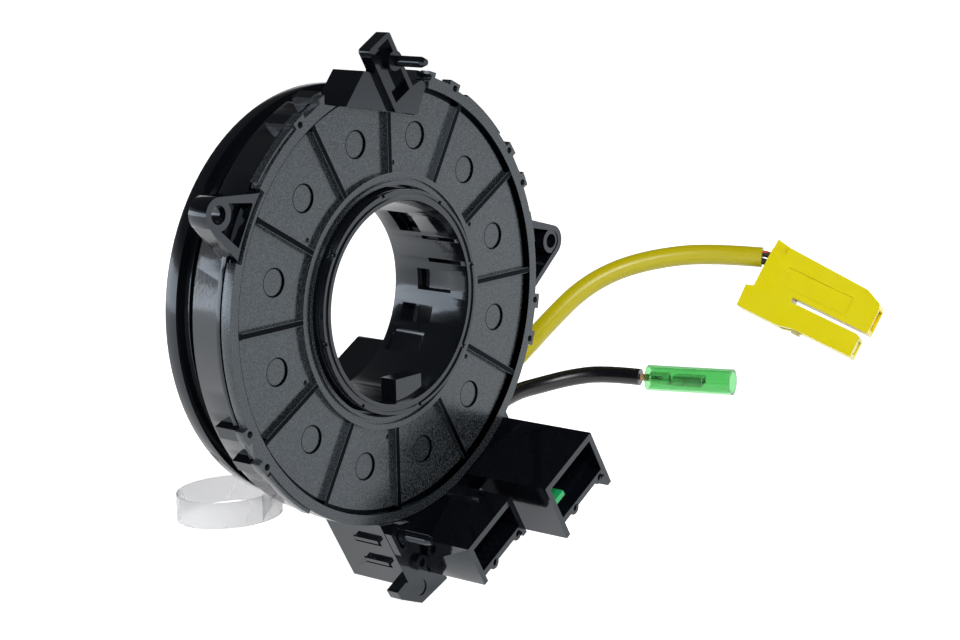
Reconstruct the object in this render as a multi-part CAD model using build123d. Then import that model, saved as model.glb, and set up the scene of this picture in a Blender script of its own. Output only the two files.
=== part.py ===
from build123d import *
import math
import os

os.makedirs("parts", exist_ok=True)

# Steering clock spring: a fixed shell behind the steering wheel, a rotor that turns with the wheel,
# and a flat cable wound between them.  Millimetres.  The turning axis is Y: the ribbed cover faces
# -Y, towards the column, and the wheel is on the +Y side.  Z is up.  The origin is on the axis, in
# the front plane of the ribbed cover.

# Driving dimensions: ribbed cover
COVER_R = 50.0
COVER_T = 2.6
COVER_BORE_R = 25.8
POCKET_IN_R = 28.6
POCKET_OUT_R = COVER_R - 2.4
POCKET_DEPTH = 1.2
POCKETS = 12
RIB_W = 1.3
GROOVE_R = 27.0
GROOVE_W = 0.8
MARK_R = 3.0
MARK_PITCH_R = 37.0
MARK_DEPTH = 0.4
DIMPLE_R = 0.55

# Driving dimensions: fixed shell
WALL_R = COVER_R - 0.8
WALL_T = 1.8
WALL_END = 12.0
SHOULDER_T = 1.6
SHELL_END = 17.2
FLOOR_T = 1.4
CHAMBER_R = 39.6
NECK_R = CHAMBER_R + 5.0
CHAMBER_T = 1.6
SHELL_BORE_R = 27.6

# Driving dimensions: rotor
BORE_R = 22.6
HUB_T = 1.5
COLLAR_R = 25.0
COLLAR_FRONT = -2.4
DRUM_R = 26.4
DRUM_FRONT = 3.4
DRUM_BACK = 15.4
DISC_FRONT = 18.0
DISC_T = 1.8
DISC_R = NECK_R + 2.5
RIM_T = 1.6
RIM_FRONT = 19.4
RIM_BACK = 22.6

# Driving dimensions: block, sockets and brackets, turned about the axis
BLOCK_TURN = 30.0
SOCKET_TOP = COVER_R + 0.1
SOCKET_WALL = 1.4
SOCKET_A = (-23.7, -6.1)
SOCKET_B = (-2.0, 17.5)
SOCKET_A_FRONT = -16.1
SOCKET_B_FRONT = -23.3
SOCKET_A_DEEP = 9.4
SOCKET_B_DEEP = 11.6
RAIL = (-7.9, -SOCKET_TOP - 0.2)
RAIL_R = 1.7
RAIL_FRONT = -9.2
SKIRT_A = SOCKET_TOP + 11.1
SKIRT_B = SOCKET_TOP + 15.4
BLOCK_LOW = SOCKET_TOP + 7.4
BLOCK_FRONT = 1.0
PIN_ANGLE = 89.0
PIN_PITCH_R = COVER_R + 3.0
PIN_U = PIN_PITCH_R * math.cos(math.radians(PIN_ANGLE - BLOCK_TURN))
PIN_V = PIN_PITCH_R * math.sin(math.radians(PIN_ANGLE - BLOCK_TURN))
BLOCK_SIDE = -PIN_U - 3.7
PIN_R = 1.2
PIN_TIP_R = 0.7
PIN_NOSE = 1.4
PIN_BOSS_R = 2.2
PIN_END = -10.3

# Clearances
SNUG = 0.15
SLIP = 0.3
CONTACT_FIT = 0.05


def plane_at(y, turn=0.0):
    """Sketch plane at depth y, seen from the ribbed side, its x axis turned up by turn degrees."""
    a = math.radians(turn)
    return Plane(origin=(0, y, 0), x_dir=(math.cos(a), 0, math.sin(a)), z_dir=(0, -1, 0))


def slab(sketch, front, back, turn=0.0):
    """Solid of one flat outline between two depths."""
    return extrude(plane_at(back, turn) * sketch, amount=back - front, dir=(0, -1, 0))


def ring(outer, inner, front, back):
    """Round band about the turning axis."""
    return slab(Circle(outer) - Circle(inner), front, back)


def bar(x0, x1, y0, y1):
    """Flat rectangle between two corners."""
    return Pos((x0 + x1) / 2, (y0 + y1) / 2) * Rectangle(abs(x1 - x0), abs(y1 - y0))


def sector(outer, inner, start, end):
    """Flat ring sector between two angles in degrees."""
    reach = outer * 2
    mid = (start + end) / 2
    edge = [(0, 0)]
    for a in (start, mid, end):
        edge.append((reach * math.cos(math.radians(a)), reach * math.sin(math.radians(a))))
    return (Circle(outer) - Circle(inner)) & Polygon(*edge, align=None)


def polar(radius, angle):
    """Point at a radius and an angle in degrees."""
    return radius * math.cos(math.radians(angle)), radius * math.sin(math.radians(angle))


def cylinder_y(x, z, radius, front, back, turn=0.0):
    """Round bar parallel to the turning axis."""
    return slab(Pos(x, z) * Circle(radius), front, back, turn)


def turned(u, v):
    """Place in the turned frame of the block, given in the upright frame."""
    a = math.radians(BLOCK_TURN)
    return u * math.cos(a) - v * math.sin(a), u * math.sin(a) + v * math.cos(a)


def save(node, shape):
    """One file for each piece."""
    shape.label = node
    export_step(shape, "parts/" + node + ".step")
    print(node, "volume", round(shape.volume, 1))
    return shape


# The cover and the shell are cut back to a straight edge under the upper bracket
CUT_ANGLE = 80.1
CUT_DIST = max(COVER_R - 8.6, CHAMBER_R + CHAMBER_T + 0.2)
CUT_LEFT = -20.0
CUT_RIGHT = 9.5


def cut_height(x):
    """Height of the straight edge above the axis at a place across."""
    a = math.radians(CUT_ANGLE)
    return (CUT_DIST - x * math.cos(a)) / math.sin(a)


def bracket_cut(gap=0.0):
    """Outline of what the bracket takes out of the round pieces."""
    right = CUT_RIGHT + gap
    return Polygon((CUT_LEFT, cut_height(CUT_LEFT) - gap), (right, cut_height(right) - gap),
                   (right + 3.6, cut_height(right) + 6.0), (right + 4.6, COVER_R + 6),
                   (CUT_LEFT, COVER_R + 6), align=None)


# Ribbed cover
SNAP_CENTRES = (118.0, 69.0, 30.0, -14.0, 210.0)
SNAP_HALF = 5.3
SNAP_OUT = 1.5
ARC_SPANS = ((41.0, 58.0), (7.0, 15.5), (125.0, 142.0), (218.0, 236.0))
ARC_OUT = 0.8


def rear_cover():
    """Ribbed cover of the fixed shell: shallow pockets, latch eyes round its edge."""
    body = ring(COVER_R, COVER_BORE_R, 0, COVER_T)
    for start, end in ARC_SPANS:
        body += slab(sector(COVER_R + ARC_OUT, COVER_R - 1, start, end), 0.5, COVER_T)
    for centre in SNAP_CENTRES:
        body += slab(sector(COVER_R + SNAP_OUT, COVER_R - 1, centre - SNAP_HALF - 1.6,
                            centre + SNAP_HALF + 1.6), 0, COVER_T)
    pockets = Circle(POCKET_OUT_R) - Circle(POCKET_IN_R)
    for k in range(POCKETS):
        x, y = polar((POCKET_IN_R + POCKET_OUT_R) / 2, 90 + k * 360 / POCKETS)
        pockets -= Pos(x, y) * Rot(0, 0, 90 + k * 360 / POCKETS) * Rectangle(POCKET_OUT_R, RIB_W)
    body -= slab(pockets, 0, POCKET_DEPTH)
    marks = Sketch()
    for k in range(POCKETS):
        x, y = polar(MARK_PITCH_R, 75 + k * 360 / POCKETS)
        marks += Pos(x, y) * Circle(MARK_R)
    body -= slab(marks, POCKET_DEPTH, POCKET_DEPTH + MARK_DEPTH)
    body -= ring(GROOVE_R + GROOVE_W / 2, GROOVE_R - GROOVE_W / 2, 0, 0.6)
    dimples = Sketch()
    for k in range(6):
        x, y = polar(POCKET_IN_R + 2.0, 26 + k * 60)
        dimples += Pos(x, y) * Circle(DIMPLE_R)
    body -= slab(dimples, POCKET_DEPTH, POCKET_DEPTH + 0.5)
    for centre in SNAP_CENTRES:
        for side in (-1, 1):
            x, y = polar(COVER_R + 0.1, centre + side * SNAP_HALF)
            body -= slab(Pos(x, y) * Circle(0.75), -1, COVER_T + 1)
        x, y = polar(COVER_R + SNAP_OUT - 0.4, centre)
        body -= slab(Pos(x, y) * Rot(0, 0, centre) * Rectangle(1.6, 5.4), -1, COVER_T + 1)
    body -= slab(bracket_cut(SNUG), -1, COVER_T + 1)
    body -= slab(sector(COVER_R + 4, EAR_NOTCH_R, EAR_LEFT_FOOT[0] - 1.6, EAR_LEFT_FOOT[1] + 1.6),
                 -1, COVER_T + 1)
    body -= slab(bar(SOCKET_A[0] - 12, SOCKET_B[1] + 3, -COVER_R - 10, -SOCKET_TOP + 0.4),
                 -1, COVER_T + 1, BLOCK_TURN)
    return body


# Fixed shell with its ears, bracket, block and two sockets
EAR_LEFT = (153.1, COVER_R + 7.3)
EAR_RIGHT = (5.0, COVER_R + 8.6)
EAR_LEFT_SPAN = (0.6, 5.8)
EAR_RIGHT_SPAN = (1.8, 7.0)
EAR_LEFT_FOOT = (144.6, 160.4)
EAR_RIGHT_FOOT = (-8.5, 13.5)
EAR_LEFT_TIP = (3.7, 3.5, 2.0)
EAR_RIGHT_TIP = (3.8, 2.9, 1.7)
EAR_WALL = 1.3
EAR_NOTCH_R = COVER_R - 1.6


def ear(place, span, foot, tip_sizes):
    """Hollow triangular ear: an eye at its tip, two webs back to the wall and one plate behind."""
    angle, pitch_r = place
    front, back = span
    tip_r, boss_r, hole_r = tip_sizes
    tip = polar(pitch_r, angle)
    corners = [polar(WALL_R - 0.5, a) for a in foot]
    spread = make_hull((Pos(*tip) * Circle(tip_r)).edges() + (Pos(*corners[0]) * Circle(0.8)).edges()
                       + (Pos(*corners[1]) * Circle(0.8)).edges())
    inside = [polar(WALL_R + 0.6, a) for a in (foot[0] + 2.6, foot[1] - 2.6)]
    inner = make_hull((Pos(*tip) * Circle(tip_r - EAR_WALL)).edges() + (Pos(*inside[0]) * Circle(0.3)).edges()
                      + (Pos(*inside[1]) * Circle(0.3)).edges())
    body = slab(spread, front, back)
    body -= slab(inner, front - 1, back - 1.6)
    body += slab(Pos(*tip) * Circle(boss_r), front + 0.2, back)
    body -= slab(Circle(WALL_R - 0.9), COVER_T, back + 2)
    body -= slab(Pos(*tip) * Circle(hole_r), front - 2, back + 2)
    return body


def snap_posts():
    """Short latch posts on the wall, one under each eye of the cover."""
    posts = Sketch()
    for centre in SNAP_CENTRES:
        for side in (-1, 1):
            place = Rot(0, 0, centre + side * SNAP_HALF) * Pos(COVER_R, 0)
            posts += place * Rectangle(2 * SNAP_OUT - 0.4, 3.0)
    body = slab(posts, COVER_T, COVER_T + 6.0)
    return body - slab(Circle(WALL_R - 0.9), 0, SHELL_END)


LOOP_U = (PIN_U - 5.9, PIN_U + 1.7)
LOOP_V = (PIN_V - 10.4, PIN_V + 6.6)
LOOP_Y = (-1.5, 1.8)
LOOP_WALL = 1.2
WEDGE_X = (-13.6, 9.1)
WEDGE_Y = (-0.2, 9.0)


def upper_bracket():
    """Base, hollow loop, gusset and locating pin above the cover."""
    left = CUT_LEFT + 12
    outline = [(x, cut_height(x) + rise) for x, rise in
               ((left, -1.5), (left, 0), (2.8, 0), (2.8, 1.7), (8.8, 6.2), (12.2, 7.5), (12.6, 5.2), (8.4, -1.4))]
    base = Polygon(*outline, align=None)
    body = slab(base, COVER_T, SHELL_END)
    x0, x1 = WEDGE_X
    for drop, start in ((0.0, WEDGE_Y[0]), (1.5, COVER_T)):
        outline = [(x, cut_height(x) + rise) for x, rise in
                   ((x0, -drop), (x1, -drop), (11.9, 7.2), (7.3, 6.3), (-7.7, 8.1))]
        body += slab(Polygon(*outline, align=None), start, WEDGE_Y[1])
    lobe = make_hull([edge for x, rise, r in ((7.2, 2.8, 2.9), (10.4, 6.2, 1.4), (3.4, 1.0, 0.6))
                      for edge in (Pos(x, cut_height(x) + rise) * Circle(r)).edges()])
    body += slab(lobe, -0.3, COVER_T + 0.5)
    u0, u1 = LOOP_U
    v0, v1 = LOOP_V
    front, back = LOOP_Y
    frame = bar(u0, u1, v0, v1)
    frame = fillet(frame.vertices().group_by(Axis.Y)[-1], 0.8)
    body += slab(frame, front, back, BLOCK_TURN)
    body -= slab(bar(u0 + LOOP_WALL, u1 - LOOP_WALL, v0 + 2.6, v1 - LOOP_WALL),
                 front - 1, back - LOOP_WALL, BLOCK_TURN)
    side = Plane(origin=(*turned(u0, 0)[:1], 0, turned(u0, 0)[1]),
                 x_dir=(0, 1, 0), z_dir=(math.cos(math.radians(BLOCK_TURN)), 0,
                                         math.sin(math.radians(BLOCK_TURN))))
    gusset = Polygon((back - 0.6, v1 - 4), (back - 0.6, v0), (9.0, v0), (8.0, v0 + 2.6), align=None)
    body += extrude(side * gusset, amount=LOOP_WALL, dir=side.z_dir)
    foot = bar(u0, u1, v0, v0 + 1.4)
    body += slab(foot, front, 9.0, BLOCK_TURN)
    body -= slab(Circle(COVER_R + SNAP_OUT) - bracket_cut(), front - 1, COVER_T)
    body -= slab(Circle(CHAMBER_R + 0.5), COVER_T, SHELL_END + 1)
    body += cylinder_y(*polar(PIN_PITCH_R, PIN_ANGLE), PIN_BOSS_R, front, back)
    return body + locating_pin(PIN_ANGLE, back - 0.8)


def locating_pin(angle, root):
    """Round pin with a reduced nose, pointing to the column."""
    x, z = polar(PIN_PITCH_R, angle)
    pin = cylinder_y(x, z, PIN_R, PIN_END + PIN_NOSE, root)
    nose = cylinder_y(x, z, PIN_R, PIN_END, PIN_END + PIN_NOSE)
    return pin + chamfer(nose.edges().group_by(Axis.Y)[0], length=PIN_NOSE - 0.1, length2=PIN_R - PIN_TIP_R)


def socket(span, front, top, deep, skirt):
    """Five-sided socket shell, open to the column side, with keyed lower wall and long side walls."""
    u0, u1 = span
    outer = bar(u0, u1, -top - deep, -top)
    body = slab(outer, front, BLOCK_FRONT + 1.6, BLOCK_TURN)
    for u in (u0, u1 - SOCKET_WALL):
        body += slab(bar(u, u + SOCKET_WALL, -skirt, -top - deep + 0.5), front, BLOCK_FRONT + 1.6, BLOCK_TURN)
    for share in (0.32, 0.86):
        u = u0 + (u1 - u0) * share
        key = Pos(u, -top - deep) * Circle(1.7)
        body += slab(key, front + 0.6, BLOCK_FRONT + 1.6, BLOCK_TURN)
    body -= slab(bar(u0 + SOCKET_WALL, u1 - SOCKET_WALL, -top - deep + SOCKET_WALL, -top - SOCKET_WALL),
                 front - 1, SOCKET_FLOOR, BLOCK_TURN)
    for share in (0.32, 0.86):
        u = u0 + (u1 - u0) * share
        body -= slab(Pos(u, -top - deep) * Circle(0.9), front - 1, SOCKET_FLOOR, BLOCK_TURN)
    return body


SOCKET_FLOOR = -1.6
BLOCK_WALL = 1.6
LATCH_SLOTS = (SOCKET_TOP - 4.5, SOCKET_TOP + 2.3)


def connector_block():
    """Hollow block under the round shell that carries the two sockets."""
    u0 = BLOCK_SIDE
    u1 = SOCKET_B[1]
    outline = Polygon((u0, -36), (u0, -BLOCK_LOW), (u1, -BLOCK_LOW), (u1, -40), align=None)
    body = slab(outline, BLOCK_FRONT, SHELL_END, BLOCK_TURN)
    body -= slab(bar(u0 + BLOCK_WALL, u1 - BLOCK_WALL, -BLOCK_LOW - 1, -SOCKET_TOP + 4),
                 BLOCK_FRONT + BLOCK_WALL, SHELL_END - BLOCK_WALL, BLOCK_TURN)
    for v in LATCH_SLOTS:
        body -= slab(bar(u0 - 1, u0 + BLOCK_WALL + 0.4, -v - 1.0, -v + 1.0), 2.4, 10.4, BLOCK_TURN)
        body += slab(bar(u0 - 0.9, u0 + 0.5, -v + 0.6, -v + 1.6), 2.0, 9.0, BLOCK_TURN)
    plate = Polygon((u0, -38.5), (u0, -BLOCK_LOW), (SOCKET_A[0] + 1, -BLOCK_LOW),
                    (SOCKET_A[0] + 1, -45.5), align=None)
    body += slab(plate, -0.4, BLOCK_FRONT + 0.5, BLOCK_TURN)
    body -= slab(Circle(COVER_R + SNUG), -5, COVER_T)
    body -= slab(Circle(WALL_R - 0.6), COVER_T, SHELL_END + 1)
    return body


def lower_bracket():
    """Small hollow frame and locating pin on the front of the block."""
    x, z = polar(PIN_PITCH_R, PIN_ANGLE + 180)
    a = math.radians(BLOCK_TURN)
    u = x * math.cos(a) + z * math.sin(a)
    v = -x * math.sin(a) + z * math.cos(a)
    frame = bar(u - 3.6, u + 2.6, v - 3.0, v + 3.4)
    body = slab(frame, -2.4, 0.4, BLOCK_TURN)
    body -= slab(bar(u - 2.6, u + 1.6, v - 2.0, v + 2.4), -3.4, -0.9, BLOCK_TURN)
    body += cylinder_y(x, z, PIN_BOSS_R, -2.4, 0.4)
    body += slab(Pos(u + 1.4, v - 10.2) * Circle(1.9), -1.6, 0.4, BLOCK_TURN)
    body -= slab(Pos(u + 1.4, v - 10.2) * Circle(1.0), -2.6, -0.6, BLOCK_TURN)
    body += locating_pin(PIN_ANGLE + 180, 0)
    body -= slab(Circle(COVER_R + SNUG), -5, COVER_T)
    return body


def stator_housing():
    """Fixed shell: outer wall, cable chamber, floor, ears, brackets, block and sockets in one."""
    body = ring(WALL_R, WALL_R - WALL_T, COVER_T, WALL_END)
    body += ring(WALL_R, CHAMBER_R, WALL_END - SHOULDER_T, WALL_END)
    body += ring(WALL_R + 0.7, WALL_R - 1, COVER_T + 0.6, COVER_T + 1.8)
    body += ring(NECK_R, NECK_R - WALL_T, WALL_END - 0.5, SHELL_END)
    body += ring(CHAMBER_R + CHAMBER_T, CHAMBER_R, COVER_T, SHELL_END)
    body += ring(NECK_R, SHELL_BORE_R, SHELL_END - FLOOR_T, SHELL_END)
    for k in range(12):
        rib = Rot(0, 0, 15 + 30 * k) * Pos((CHAMBER_R + WALL_R) / 2, 0)
        body += slab(rib * Rectangle(WALL_R - CHAMBER_R - 1.5, 1.2), COVER_T, WALL_END)
    body -= slab(bracket_cut(), COVER_T - 1, SHELL_END + 1)
    left_ear = ear(EAR_LEFT, EAR_LEFT_SPAN, EAR_LEFT_FOOT, EAR_LEFT_TIP)
    body += left_ear - slab(Circle(EAR_NOTCH_R + SNUG), -1, COVER_T)
    right_ear = ear(EAR_RIGHT, EAR_RIGHT_SPAN, EAR_RIGHT_FOOT, EAR_RIGHT_TIP)
    body += right_ear - slab(Circle(COVER_R + SNAP_OUT + SNUG), -1, COVER_T)
    body += snap_posts()
    body += upper_bracket()
    body += connector_block()
    body += lower_bracket()
    body += socket(SOCKET_A, SOCKET_A_FRONT, SOCKET_TOP, SOCKET_A_DEEP, SKIRT_A)
    body += socket(SOCKET_B, SOCKET_B_FRONT, SOCKET_TOP, SOCKET_B_DEEP, SKIRT_B)
    rail = slab(Pos(*RAIL) * Circle(RAIL_R), RAIL_FRONT, BLOCK_FRONT + 1, BLOCK_TURN)
    rail -= slab(Pos(*RAIL) * Circle(RAIL_R - 0.8), RAIL_FRONT - 1, RAIL_FRONT + 2, BLOCK_TURN)
    body += rail - slab(Circle(COVER_R + SNUG), -12, COVER_T)
    body -= contacts_a(PIN_SIDE + 2 * CONTACT_FIT)
    body -= contacts_b(PIN_SIDE + 2 * CONTACT_FIT)
    gate = bar(*GATE_U, -SOCKET_TOP - 1, -CHAMBER_R + 3)
    body -= slab(gate, GATE_Y[0], GATE_Y[1], BLOCK_TURN)
    return body


# The terminal block of the shell passes from the cable chamber through this gate into the block
GATE_U = (-12.0, 6.0)
GATE_Y = (5.0, 11.0)


def block_cover():
    """Snap-on lid under the block, with a front lip that carries one round mark."""
    u0 = BLOCK_SIDE
    u1 = SOCKET_B[1]
    low = BLOCK_LOW
    body = slab(bar(u0, u1, -low - 1.4, -low), BLOCK_FRONT + BLOCK_WALL + SNUG, SHELL_END, BLOCK_TURN)
    lip = Polygon((u0 - 3.4, -low), (u0 - 3.3, -low - 2.3), (u0 + 1.5, -low - 8.1), (u0 + 11.0, -low - 9.4),
                  (u0 + 11.0, -SKIRT_A - SNUG), (SOCKET_A[0] - SNUG, -SKIRT_A - SNUG),
                  (SOCKET_A[0] - SNUG, -low), align=None)
    body += slab(lip, BLOCK_FRONT - 0.6, BLOCK_FRONT + BLOCK_WALL + SNUG + 1.0, BLOCK_TURN)
    body -= slab(bar(u0 - 5, SOCKET_B[1], -low, -low + 3), -3, SHELL_END + 1, BLOCK_TURN)
    mark = Pos(u0 + 3.2, -low - 4.7) * Circle(1.9)
    body -= slab(mark, BLOCK_FRONT - 1, BLOCK_FRONT - 0.3, BLOCK_TURN)
    return body


# Contacts of the two sockets, in two rows
PIN_SIDE = 0.64


def contact_rows(span, front, top, deep, count, reach, side):
    """Square contacts that stand in a socket and pass through its floor."""
    u0, u1 = span
    group = Part()
    room = u1 - u0 - 2 * SOCKET_WALL - 4.0
    for row in (0.31, 0.53):
        for k in range(count):
            u = u0 + SOCKET_WALL + 2.0 + room * k / (count - 1)
            v = -top - deep * row
            group += slab(bar(u - side / 2, u + side / 2, v - side / 2, v + side / 2),
                          front + reach, BLOCK_FRONT + BLOCK_WALL + 2.4, BLOCK_TURN)
    return group


def contacts_a(side=PIN_SIDE):
    """Twelve contacts of the narrower socket."""
    return contact_rows(SOCKET_A, SOCKET_A_FRONT, SOCKET_TOP, SOCKET_A_DEEP, 6, 7.0, side)


def contacts_b(side=PIN_SIDE):
    """Fourteen contacts of the wider socket."""
    return contact_rows(SOCKET_B, SOCKET_B_FRONT, SOCKET_TOP, SOCKET_B_DEEP, 7, 9.0, side)


CARRIER_T = 3.0


def contact_carrier(span):
    """Moulded carrier that holds one socket's contacts behind the socket floor."""
    u0, u1 = span
    return slab(bar(u0 + SOCKET_WALL + 0.6, u1 - SOCKET_WALL - 0.6, -BLOCK_LOW + 0.6, -SOCKET_TOP - 1.6),
                BLOCK_FRONT + BLOCK_WALL, BLOCK_FRONT + BLOCK_WALL + CARRIER_T, BLOCK_TURN)


def socket_insert():
    """Dark terminal body inside the wider socket, below its contacts."""
    u0, u1 = SOCKET_B
    low = -SOCKET_TOP - SOCKET_B_DEEP + SOCKET_WALL
    body = slab(bar(u0 + SOCKET_WALL + SNUG, u1 - SOCKET_WALL - SNUG, low + SNUG, low + 2.2),
                SOCKET_B_FRONT + 3.0, SOCKET_FLOOR, BLOCK_TURN)
    return body


def socket_retainer():
    """Green retainer: a bar inside the wider socket with one upright tongue."""
    u0 = SOCKET_B[0] + SOCKET_WALL + SNUG
    low = -SOCKET_TOP - SOCKET_B_DEEP + SOCKET_WALL + 2.2
    body = slab(bar(u0, u0 + 5.0, low, low + 1.3), SOCKET_B_FRONT + 2.0, SOCKET_FLOOR, BLOCK_TURN)
    body += slab(bar(u0, u0 + 1.1, low, low + 4.6), SOCKET_B_FRONT + 2.0, SOCKET_B_FRONT + 7.0, BLOCK_TURN)
    return body


# Rotor
HOOK_ANGLES = (20.0, 140.0, 260.0)
DRIVE_TAB_X = (-1.2, 7.2)
DRIVE_TAB_Y = (-1.0, 3.5)
DRIVE_TAB_R = 17.4


def hub_sleeve():
    """Inner sleeve of the rotor: bore wall, front collar, cable drum, windows and drive tab."""
    body = ring(BORE_R + HUB_T, BORE_R, COLLAR_FRONT, DISC_FRONT + DISC_T)
    body += ring(COLLAR_R, BORE_R, COLLAR_FRONT, DRUM_FRONT)
    body += ring(DRUM_R, BORE_R, DRUM_FRONT, DRUM_BACK)
    body += ring(COLLAR_R + 0.6, BORE_R, DRUM_BACK, DISC_FRONT)
    body -= ring(DRUM_R - 1.3, BORE_R + HUB_T, DRUM_FRONT + 1.4, DRUM_BACK - 1.4)
    body -= ring(COLLAR_R - 0.7, BORE_R + 0.9, COLLAR_FRONT, COLLAR_FRONT + 0.4)
    for angle, wide, front, back in ((1.0, 5.0, 3.0, 13.0), (-19.4, 4.2, 8.0, 17.2), (120.0, 8.0, 4.0, 12.0),
                                     (200.0, 8.0, 4.0, 12.0)):
        cut = Rot(0, 0, angle) * Pos(BORE_R + HUB_T / 2, 0) * Rectangle(HUB_T + 1.6, wide)
        body -= slab(cut, front, back)
    for side in (-1, 1):
        cut = Rot(0, 0, 21 + side * 7.5) * Pos(BORE_R + HUB_T / 2, 0) * Rectangle(HUB_T + 1.6, 1.0)
        body -= slab(cut, COLLAR_FRONT + 1.6, 9.0)
    tab = bar(*DRIVE_TAB_X, -COLLAR_R, -DRIVE_TAB_R) & Circle(BORE_R + HUB_T)
    body += slab(tab, *DRIVE_TAB_Y)
    body -= slab(bar(DRIVE_TAB_X[0] + 1.4, DRIVE_TAB_X[1] - 1.4, -BORE_R + 0.6, -DRIVE_TAB_R - 1.2),
                 DRIVE_TAB_Y[0] + 1.2, DRIVE_TAB_Y[1] + 1)
    body -= slab(sector(BORE_R + 0.7, BORE_R - 1.0, -44.0, -30.0), 8.6, DISC_FRONT)
    body -= slab(sector(BORE_R + HUB_T + 0.3, BORE_R - 1.0, 32.0, 49.0), 8.6, 15.0)
    for k in range(8):
        x, y = polar((COLLAR_R + BORE_R) / 2 + 0.8, 12 + 45 * k)
        body -= slab(Pos(x, y) * Circle(0.45), COLLAR_FRONT - 1, COLLAR_FRONT + 0.8)
    return body


def rotor_disc():
    """Wheel-side disc of the rotor: flat web, thick outer rim, seat for the sleeve, drive socket wall."""
    body = ring(NECK_R, BORE_R + HUB_T + SNUG, DISC_FRONT, DISC_FRONT + DISC_T)
    body += ring(DISC_R, NECK_R - 2, RIM_FRONT, RIM_FRONT + 1.2)
    body += ring(DISC_R, DISC_R - RIM_T, RIM_FRONT, RIM_BACK)
    body += ring(DISC_R - 6.0, DISC_R - 7.2, DISC_FRONT, DISC_FRONT + DISC_T + 1.2)
    body += ring(BORE_R + HUB_T + SNUG + 1.6, BORE_R + HUB_T + SNUG, DISC_FRONT, DISC_FRONT + DISC_T + 1.6)
    for k in range(24):
        rib = Rot(0, 0, 7.5 + 15 * k) * Pos(DISC_R - 3.6, 0)
        body += slab(rib * Rectangle(5.6, 0.9), DISC_FRONT + DISC_T - 0.2, RIM_BACK - 1.0)
    for angle in (100.0, 170.0):
        x, y = polar(34.0, angle)
        body += slab(Pos(x, y) * Circle(2.6), DISC_FRONT + DISC_T - 0.5, RIM_BACK + 2.0)
        body -= slab(Pos(x, y) * Circle(1.25), DISC_FRONT + DISC_T + 0.2, RIM_BACK + 3.0)
    body -= slab(offset(bar(*WHEEL_U, *WHEEL_V), SNUG), DISC_FRONT + DISC_T, RIM_BACK + 1, BLOCK_TURN)
    body -= slab(offset(lead_foot(), SNUG), DISC_FRONT + DISC_T, RIM_BACK + 1)
    return body


# Wheel-side block: a socket for the wheel's switches and the root of the two leads
WHEEL_U = (-16.0, 14.0)
WHEEL_V = (-44.5, -26.0)
WHEEL_BACK = 34.0
LEAD_DEPTH = 30.0


def wheel_socket():
    """Socket shell on the wheel side of the disc, open towards the wheel."""
    u0, u1 = WHEEL_U
    v0, v1 = WHEEL_V
    front = DISC_FRONT + DISC_T
    sketch = fillet(bar(u0, u1, v0, v1).vertices(), 1.6)
    body = slab(sketch, front, WHEEL_BACK, BLOCK_TURN)
    body -= slab(bar(u0 + 1.6, u1 - 1.6, v0 + 1.6, v1 - 1.6), front + 3.2, WHEEL_BACK + 1, BLOCK_TURN)
    body -= slab(Circle(BORE_R + HUB_T + SNUG + 1.6 + SNUG), front - 1, WHEEL_BACK + 1)
    body += slab(bar(-1.0, 0.4, v0 + 1, v1 - 1), front + 3.0, WHEEL_BACK - 6, BLOCK_TURN)
    return body


def wheel_contacts():
    """Two rows of contacts inside the wheel-side socket."""
    group = Part()
    front = DISC_FRONT + DISC_T + 3.2
    for row in (-32.4, -38.4):
        for k in range(8):
            u = -12.6 + 3.3 * k
            if abs(u + 0.3) < 1.4:
                continue
            group += slab(bar(u - PIN_SIDE / 2, u + PIN_SIDE / 2, row - PIN_SIDE / 2, row + PIN_SIDE / 2),
                          front, WHEEL_BACK - 4.0, BLOCK_TURN)
    return group


YELLOW_R = 2.6
BLACK_R = 2.15
# Routes of the two leads, chosen by hand
YELLOW_ROUTE = [(44.5, 30.0, -40.0), (54.0, 30.0, -38.0), (63.5, 30.2, -36.0), (73.0, 30.0, -33.2),
                (81.8, 29.4, -28.4), (90.9, 28.1, -22.3), (99.6, 25.4, -15.9), (107.7, 20.3, -11.3),
                (115.6, 12.7, -8.6), (123.6, 1.8, -7.2), (129.9, -11.0, -8.1)]
BLACK_ROUTE = [(46.5, 30.0, -48.0), (56.5, 30.0, -45.4), (66.8, 29.8, -42.0), (77.0, 29.2, -39.2),
               (84.4, 26.6, -38.4), (90.7, 22.0, -37.0), (95.6, 15.2, -35.9), (98.5, 5.3, -36.2)]


def lead_boss(route, radius):
    """Round outlet that points along the lead's first run and meets its end face."""
    a = Vector(*route[0])
    d = (Vector(*route[1]) - a).normalized()
    return Plane(origin=a - d * 7.0, z_dir=d) * Cylinder(radius + 1.3, 7.0, align=(Align.CENTER, Align.CENTER,
                                                                                  Align.MIN))


def lead_foot():
    """Outline of the lead cover's foot on the disc."""
    return Polygon((27.2, -31.0), (33.0, -33.0), (27.0, -38.4), (20.5, -41.5), (22.0, -36.0), align=None)


def lead_cover():
    """Closed cover on the wheel side over the roots of the two leads."""
    front = DISC_FRONT + DISC_T + 3.4
    outline = Polygon((27.2, -31.0), (38.5, -36.0), (40.5, -51.5), (32.0, -54.5), (20.5, -45.5), align=None)
    outline = fillet(outline.vertices(), 2.0)
    body = slab(outline, front, WHEEL_BACK + 0.6)
    body += slab(lead_foot(), DISC_FRONT + DISC_T, front + 1)
    body += lead_boss(YELLOW_ROUTE, YELLOW_R)
    body += lead_boss(BLACK_ROUTE, BLACK_R)
    body -= slab(bar(WHEEL_U[0], WHEEL_U[1] + SNUG, WHEEL_V[0] - SNUG, WHEEL_V[1]),
                 DISC_FRONT, WHEEL_BACK + 2, BLOCK_TURN)
    return body


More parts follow.
